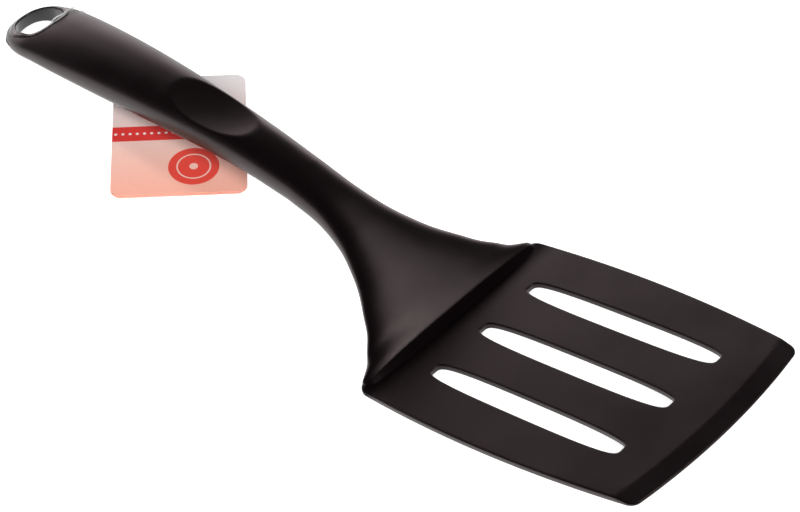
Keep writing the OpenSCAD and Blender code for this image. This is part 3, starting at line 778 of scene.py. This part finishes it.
def coated_card(name, printed):
    """Coated card: pale at the top, through pink to salmon at the foot, with a fibre mottle. The
    printed face has a broad red band with a row of pale dots, and rings like a plate's below."""
    material, tree, shader = bare_material(name)
    # metres on the part become millimetres on the card, from its lower left corner
    left, foot = -tag_inset, -tag_h + tag_inset
    turn = node(tree, "ShaderNodeMapping", Rotation=(0, 0, tag_turn), Scale=(0.001, 0.001, 0.001),
                Vector=tree.nodes.new("ShaderNodeTexCoord").outputs["Object"],
                Location=((tag_x + left * tag_cos - foot * tag_sin) / 1000,
                          (tag_y + left * tag_sin + foot * tag_cos) / 1000, 0))
    turn.vector_type = "TEXTURE"
    split = node(tree, "ShaderNodeSeparateXYZ", Vector=turn.outputs["Vector"])
    print_x, print_y = split.outputs["X"], split.outputs["Y"]
    ramp = node(tree, "ShaderNodeValToRGB", Fac=worked(tree, "DIVIDE", print_y, tag_h))
    ramp.color_ramp.interpolation = "B_SPLINE"
    elements = ramp.color_ramp.elements
    while len(elements) < len(card_colours):
        elements.new(0.5)
    for element, (at, colour) in zip(elements, card_colours):
        element.position, element.color = at, (*colour, 1)
    colour_now = ramp.outputs["Color"]

    def distance(x, y, x0, y0):
        """Distance from a point: the root of the sum of both squares."""
        squares = [worked(tree, "POWER", worked(tree, "SUBTRACT", a, b), 2.0)
                   for a, b in ((x, x0), (y, y0))]
        return worked(tree, "SQRT", worked(tree, "ADD", *squares))

    def within(a, low, high):
        """1 where a lies between low and high, with an edge as soft as the print's."""
        up = worked(tree, "MULTIPLY_ADD", a, 1 / print_soft, -low / print_soft)
        down = worked(tree, "MULTIPLY_ADD", a, -1 / print_soft, high / print_soft)
        both = worked(tree, "MINIMUM", up, down)
        both.node.use_clamp = True
        return both

    if printed:
        dots = distance(worked(tree, "PINGPONG", print_x, dot_step), print_y,
                        dot_step / 2, (band_low + band_high) / 2)
        plate = distance(print_x, print_y, plate_x, plate_y)
        # a disc is a ring that starts below no distance at all
        for source, low, high, ink in (
                (print_y, band_low, band_high, band_red), (dots, -1.0, dot_r, dot_pink),
                (plate, -1.0, plate_r, plate_red), (plate, groove_in, groove_out, plate_pink),
                (plate, -1.0, well_r, plate_pink)):
            colour_now = toned(tree, within(source, low, high), colour_now, ink)
    fibre = speckle(tree, scale=900.0, detail=3.0, roughness=0.6)
    tint = tree.nodes.new("ShaderNodeVectorMath")
    tint.operation = "SCALE"
    fed(tree, tint, Vector=colour_now, Scale=ranged(tree, fibre, 0, 1, at_low=0.95, at_high=1.05))
    bump = node(tree, "ShaderNodeBump", Strength=0.06, Distance=0.00005, Height=fibre)
    fed(tree, shader, Coat_Weight=0.25, Coat_Roughness=0.2, Base_Color=tint.outputs["Vector"],
        Roughness=ranged(tree, fibre, 0, 1, at_low=0.38, at_high=0.52),
        Normal=bump.outputs["Normal"])
    return material


tag_back = leaf("tag_back_leaf", tag_rest, tag_slip)
tag_front = leaf("tag_front_leaf", tag_rest + tag_t + leaf_gap, 0.0)
tag_back.data.materials.append(coated_card("plain_card", False))
tag_front.data.materials.append(coated_card("printed_card", True))
for piece, cad, finish in ((tag_back, "tag_back", "plain_card"),
                           (tag_front, "tag_front", "printed_card")):
    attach(piece, "tag")
    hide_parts(cad)


# ---------------------------------------------------------------------------
# The clear nylon filament that ties the tag on, and the small block moulded round its two ends.
# It runs from the block over the eye's far wall, under the grip and up through the tag.
loop_d, loop_sides, loop_steps = 0.6, 12, 14
lock_w, lock_soft, lock_steps = 3.0, 0.35, 5
loop_route = np.array([
    [-127.5, 17.3, 1.5], [-133, 16.6, 2.6], [-139.5, 15.7, 5.4], [-143.6, 15.5, 8.8],
    [-145.7, 13, 12], [-145.2, 9.4, 13.8], [-144, 5.3, 14.9], [-144.3, 2, 15.0],
    [-145.4, 0.6, 12.8], [-145.5, 0.3, 9], [-145.6, 0.3, 5], [-145.4, 0.4, 2],
    [-144, 0.5, 0.8], [-139.5, 1, 0.45], [-130, 1.9, 0.4], [-120, 2.6, 0.4],
    [-110.2, 2.9, 0.4], [-108, 3, 1.1], [-108, 3.6, 2.3], [-111, 5.6, 2.7],
    [-116, 9.6, 2.4], [-121, 14.2, 1.7], [-123.2, 16, 1.5],
])


def smooth_line(p, per_span):
    """A cubic through the points, whose direction at each is that between its neighbours."""
    t = np.linspace(0, len(p) - 1, (len(p) - 1) * per_span + 1)
    i = np.minimum(t.astype(int), len(p) - 2)
    k = (t - i)[:, None]
    a, b, c, d = p[np.maximum(i - 1, 0)], p[i], p[i + 1], p[np.minimum(i + 2, len(p) - 1)]
    return 0.5 * (2 * b + (c - a) * k + (2 * a - 5 * b + 4 * c - d) * k**2
                  + (3 * b - a - 3 * c + d) * k**3)


def tube(path, radius, sides):
    """A round tube along a path. Each ring is square to the path, and is turned from the one
    before by the least angle."""
    d = np.gradient(path, axis=0)
    d /= np.linalg.norm(d, axis=1)[:, None]
    side = np.cross(d[0], [0, 0, 1.0])
    sides_of = []
    for way in d:
        side = side - way * (side @ way)
        side = side / np.linalg.norm(side)
        sides_of.append(side)
    u = np.array(sides_of)
    v = np.cross(d, u)
    a = np.linspace(0, 2 * math.pi, sides, endpoint=False)[None, :, None]
    return path[:, None, :] + radius * (np.cos(a) * u[:, None, :] + np.sin(a) * v[:, None, :])


def closed_tube(name, points):
    """A piece from rings of points, closed at both ends."""
    number = np.arange(points[..., 0].size).reshape(points.shape[:2])
    return finished_mesh(name, points, [grid_quads(number, around=True), *ends(number)])


loop_path = smooth_line(loop_route, loop_steps)
filament = closed_tube("tag_filament", tube(loop_path, loop_d / 2, loop_sides))


def clear_nylon(name, roughness):
    """Clear drawn nylon: mostly see-through, with a bright edge and a faint haze inside."""
    material, tree, shader = bare_material(name)
    haze = speckle(tree, scale=700.0, detail=2.0, roughness=0.5)
    fed(tree, shader, Alpha=0.45, IOR=1.53,
        Base_Color=toned(tree, haze, (0.78, 0.80, 0.81), (0.92, 0.93, 0.94)),
        Roughness=ranged(tree, haze, 0, 1, roughness * 0.7, roughness * 1.4))
    return material


lock_a, lock_b = loop_route[0], loop_route[-1]
lock_mid, lock_run = (lock_a + lock_b) / 2, lock_a - lock_b
lock_l, lock_way = np.linalg.norm(lock_run), math.atan2(lock_run[1], lock_run[0])
lock_high = lock_mid[2] - fit_gap


def rounded_block(length, width, height, soft, steps):
    """A block with every edge rounded: a ball's surface, with each point pushed out by half of
    what each side is longer than the ball."""
    a = np.linspace(-math.pi / 2, math.pi / 2, 2 * steps)[:, None]
    b = np.linspace(-math.pi, math.pi, 4 * steps, endpoint=False)[None, :] + math.pi / (4 * steps)
    ball = np.stack([np.cos(a) * np.cos(b), np.cos(a) * np.sin(b), np.sin(a) * np.ones_like(b)], -1)
    room = np.array([length, width, height]) / 2 - soft
    push = np.sign(ball)
    push[..., 2] = np.sign(a)
    return ball * soft + push * room


block = rounded_block(lock_l, lock_w, 2 * lock_high, lock_soft, lock_steps)
lock_cos, lock_sin = math.cos(lock_way), math.sin(lock_way)
lock = closed_tube("filament_block", np.stack([
    lock_mid[0] + block[..., 0] * lock_cos - block[..., 1] * lock_sin,
    lock_mid[1] + block[..., 0] * lock_sin + block[..., 1] * lock_cos,
    lock_mid[2] + block[..., 2]], -1))
for piece, cad, finish in ((filament, "tag_loop", clear_nylon("clear_filament", 0.12)),
                           (lock, "loop_lock", clear_nylon("clear_block", 0.2))):
    piece.data.materials.append(finish)
    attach(piece, "turner")
    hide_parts(cad)


# ---------------------------------------------------------------------------
# The table, the light and the viewpoint: white paper under the part, a white sweep far behind
# it on the left, a small softbox overhead and a large one behind the camera.
scene = bpy.context.scene
scene.view_settings.view_transform = "Standard"
table_half, paper_white = 20, (0.8, 0.8, 0.8)
glow_near, glow_far, glow_bright, glow_dim = 0.3, 1.6, 0.8, 0.1
table = bpy.data.meshes.new("table")
table.from_pydata([(-table_half, -table_half, 0), (table_half, -table_half, 0),
                   (table_half, table_half, 0), (-table_half, table_half, 0)], [], [(0, 1, 2, 3)])
floor = bpy.data.objects.new("table", table)
scene.collection.objects.link(floor)
paper = bpy.data.materials.new("white_table")
paper.use_nodes = True
tree = paper.node_tree
tree.nodes.clear()
out = tree.nodes.new("ShaderNodeOutputMaterial")
lit = node(tree, "ShaderNodeBsdfDiffuse", Color=paper_white)
# the glow fades far from the object, where only reflections see the table
away = tree.nodes.new("ShaderNodeVectorMath")
away.operation = "LENGTH"
put(tree, away.inputs[0], tree.nodes.new("ShaderNodeTexCoord").outputs["Object"])
glow = node(tree, "ShaderNodeEmission", Strength=ranged(
    tree, away.outputs["Value"], glow_near, glow_far, glow_bright, glow_dim, "SMOOTHSTEP"))
# it is for the camera, for reflections and for what is seen through the filament
path = tree.nodes.new("ShaderNodeLightPath")
seen = worked(tree, "MAXIMUM", path.outputs["Is Camera Ray"], path.outputs["Is Glossy Ray"])
seen = worked(tree, "MAXIMUM", seen, path.outputs["Is Transmission Ray"])
both, pick = tree.nodes.new("ShaderNodeAddShader"), tree.nodes.new("ShaderNodeMixShader")
for source, target in ((lit, both.inputs[0]), (glow, both.inputs[1]), (lit, pick.inputs[1]),
                       (both, pick.inputs[2]), (pick, out.inputs[0])):
    put(tree, target, source.outputs[0])
put(tree, pick.inputs[0], seen)
table.materials.append(paper)

# the sweep is brightest low down and straight ahead of it, and fades out upwards and to both
# sides into a dim room, whose near side is a little lighter. Each has the way that it lies, where
# its fade to the sides ends and starts, its strength, and the height where it has faded out.
room, room_tint, sweep_foot = 0.012, (1, 0.86, 0.88), 0.06
world = bpy.data.worlds.new("room")
scene.world = world
world.use_nodes = True
tree = world.node_tree
way = tree.nodes.new("ShaderNodeTexCoord").outputs["Generated"]
parts = node(tree, "ShaderNodeSeparateXYZ", Vector=way)
for ahead_x, ahead_y, near_edge, full_at, bright, ceiling in (
        (-0.766, 0.643, 0.45, 0.85, 2.8, 0.42), (-0.35, -0.937, 0.1, 0.8, 0.2, 0.6)):
    ahead = tree.nodes.new("ShaderNodeVectorMath")
    ahead.operation = "DOT_PRODUCT"
    put(tree, ahead.inputs[0], way)
    put(tree, ahead.inputs[1], (ahead_x, ahead_y, 0))
    upwards = ranged(tree, parts.outputs["Z"], sweep_foot, ceiling, bright, 0, "SMOOTHSTEP")
    sideways = ranged(tree, ahead.outputs["Value"], near_edge, full_at, 0, 1, "SMOOTHSTEP")
    room = worked(tree, "MULTIPLY_ADD", upwards, sideways, room)
fed(tree, tree.nodes["Background"], Color=room_tint, Strength=room)


def softbox(name, place, aim, wide, tall, power, mirrored=True):
    """A rectangular diffused lamp at a place, turned to face a point. One that isn't mirrored
    lights matt surfaces only."""
    lamp = bpy.data.lights.new(name, "AREA")
    lamp.shape = "RECTANGLE"
    lamp.size, lamp.size_y, lamp.energy = wide, tall, power
    made = bpy.data.objects.new(name, lamp)
    made.location = place
    made.rotation_mode = "QUATERNION"
    made.rotation_quaternion = (Vector(aim) - Vector(place)).to_track_quat("-Z", "Y")
    made.visible_glossy = mirrored
    scene.collection.objects.link(made)


softbox("overhead", place=(0.4, 0.36, 1.0), aim=(0.02, 0, 0.02), wide=0.25, tall=0.25, power=2.7)
softbox("key", place=(0.62, -0.75, 1.2), aim=(-0.02, 0, 0.02), wide=0.8, tall=0.8, power=28.0,
        mirrored=False)

# the camera looks at aim from a distance along back
aim, back, distance = Vector((0.033, -0.0031, 0.019)), Vector((0.4540, -0.4984, 0.7386)), 0.8033
lens = bpy.data.cameras.new("camera")
lens.sensor_width, lens.lens = 36.0, 108.0
lens.clip_start, lens.clip_end = 0.02, 100.0
camera = bpy.data.objects.new("camera", lens)
camera.location = aim + back.normalized() * distance
camera.rotation_mode = "QUATERNION"
camera.rotation_quaternion = (-back).to_track_quat("-Z", "Y")
scene.collection.objects.link(camera)
scene.camera = camera
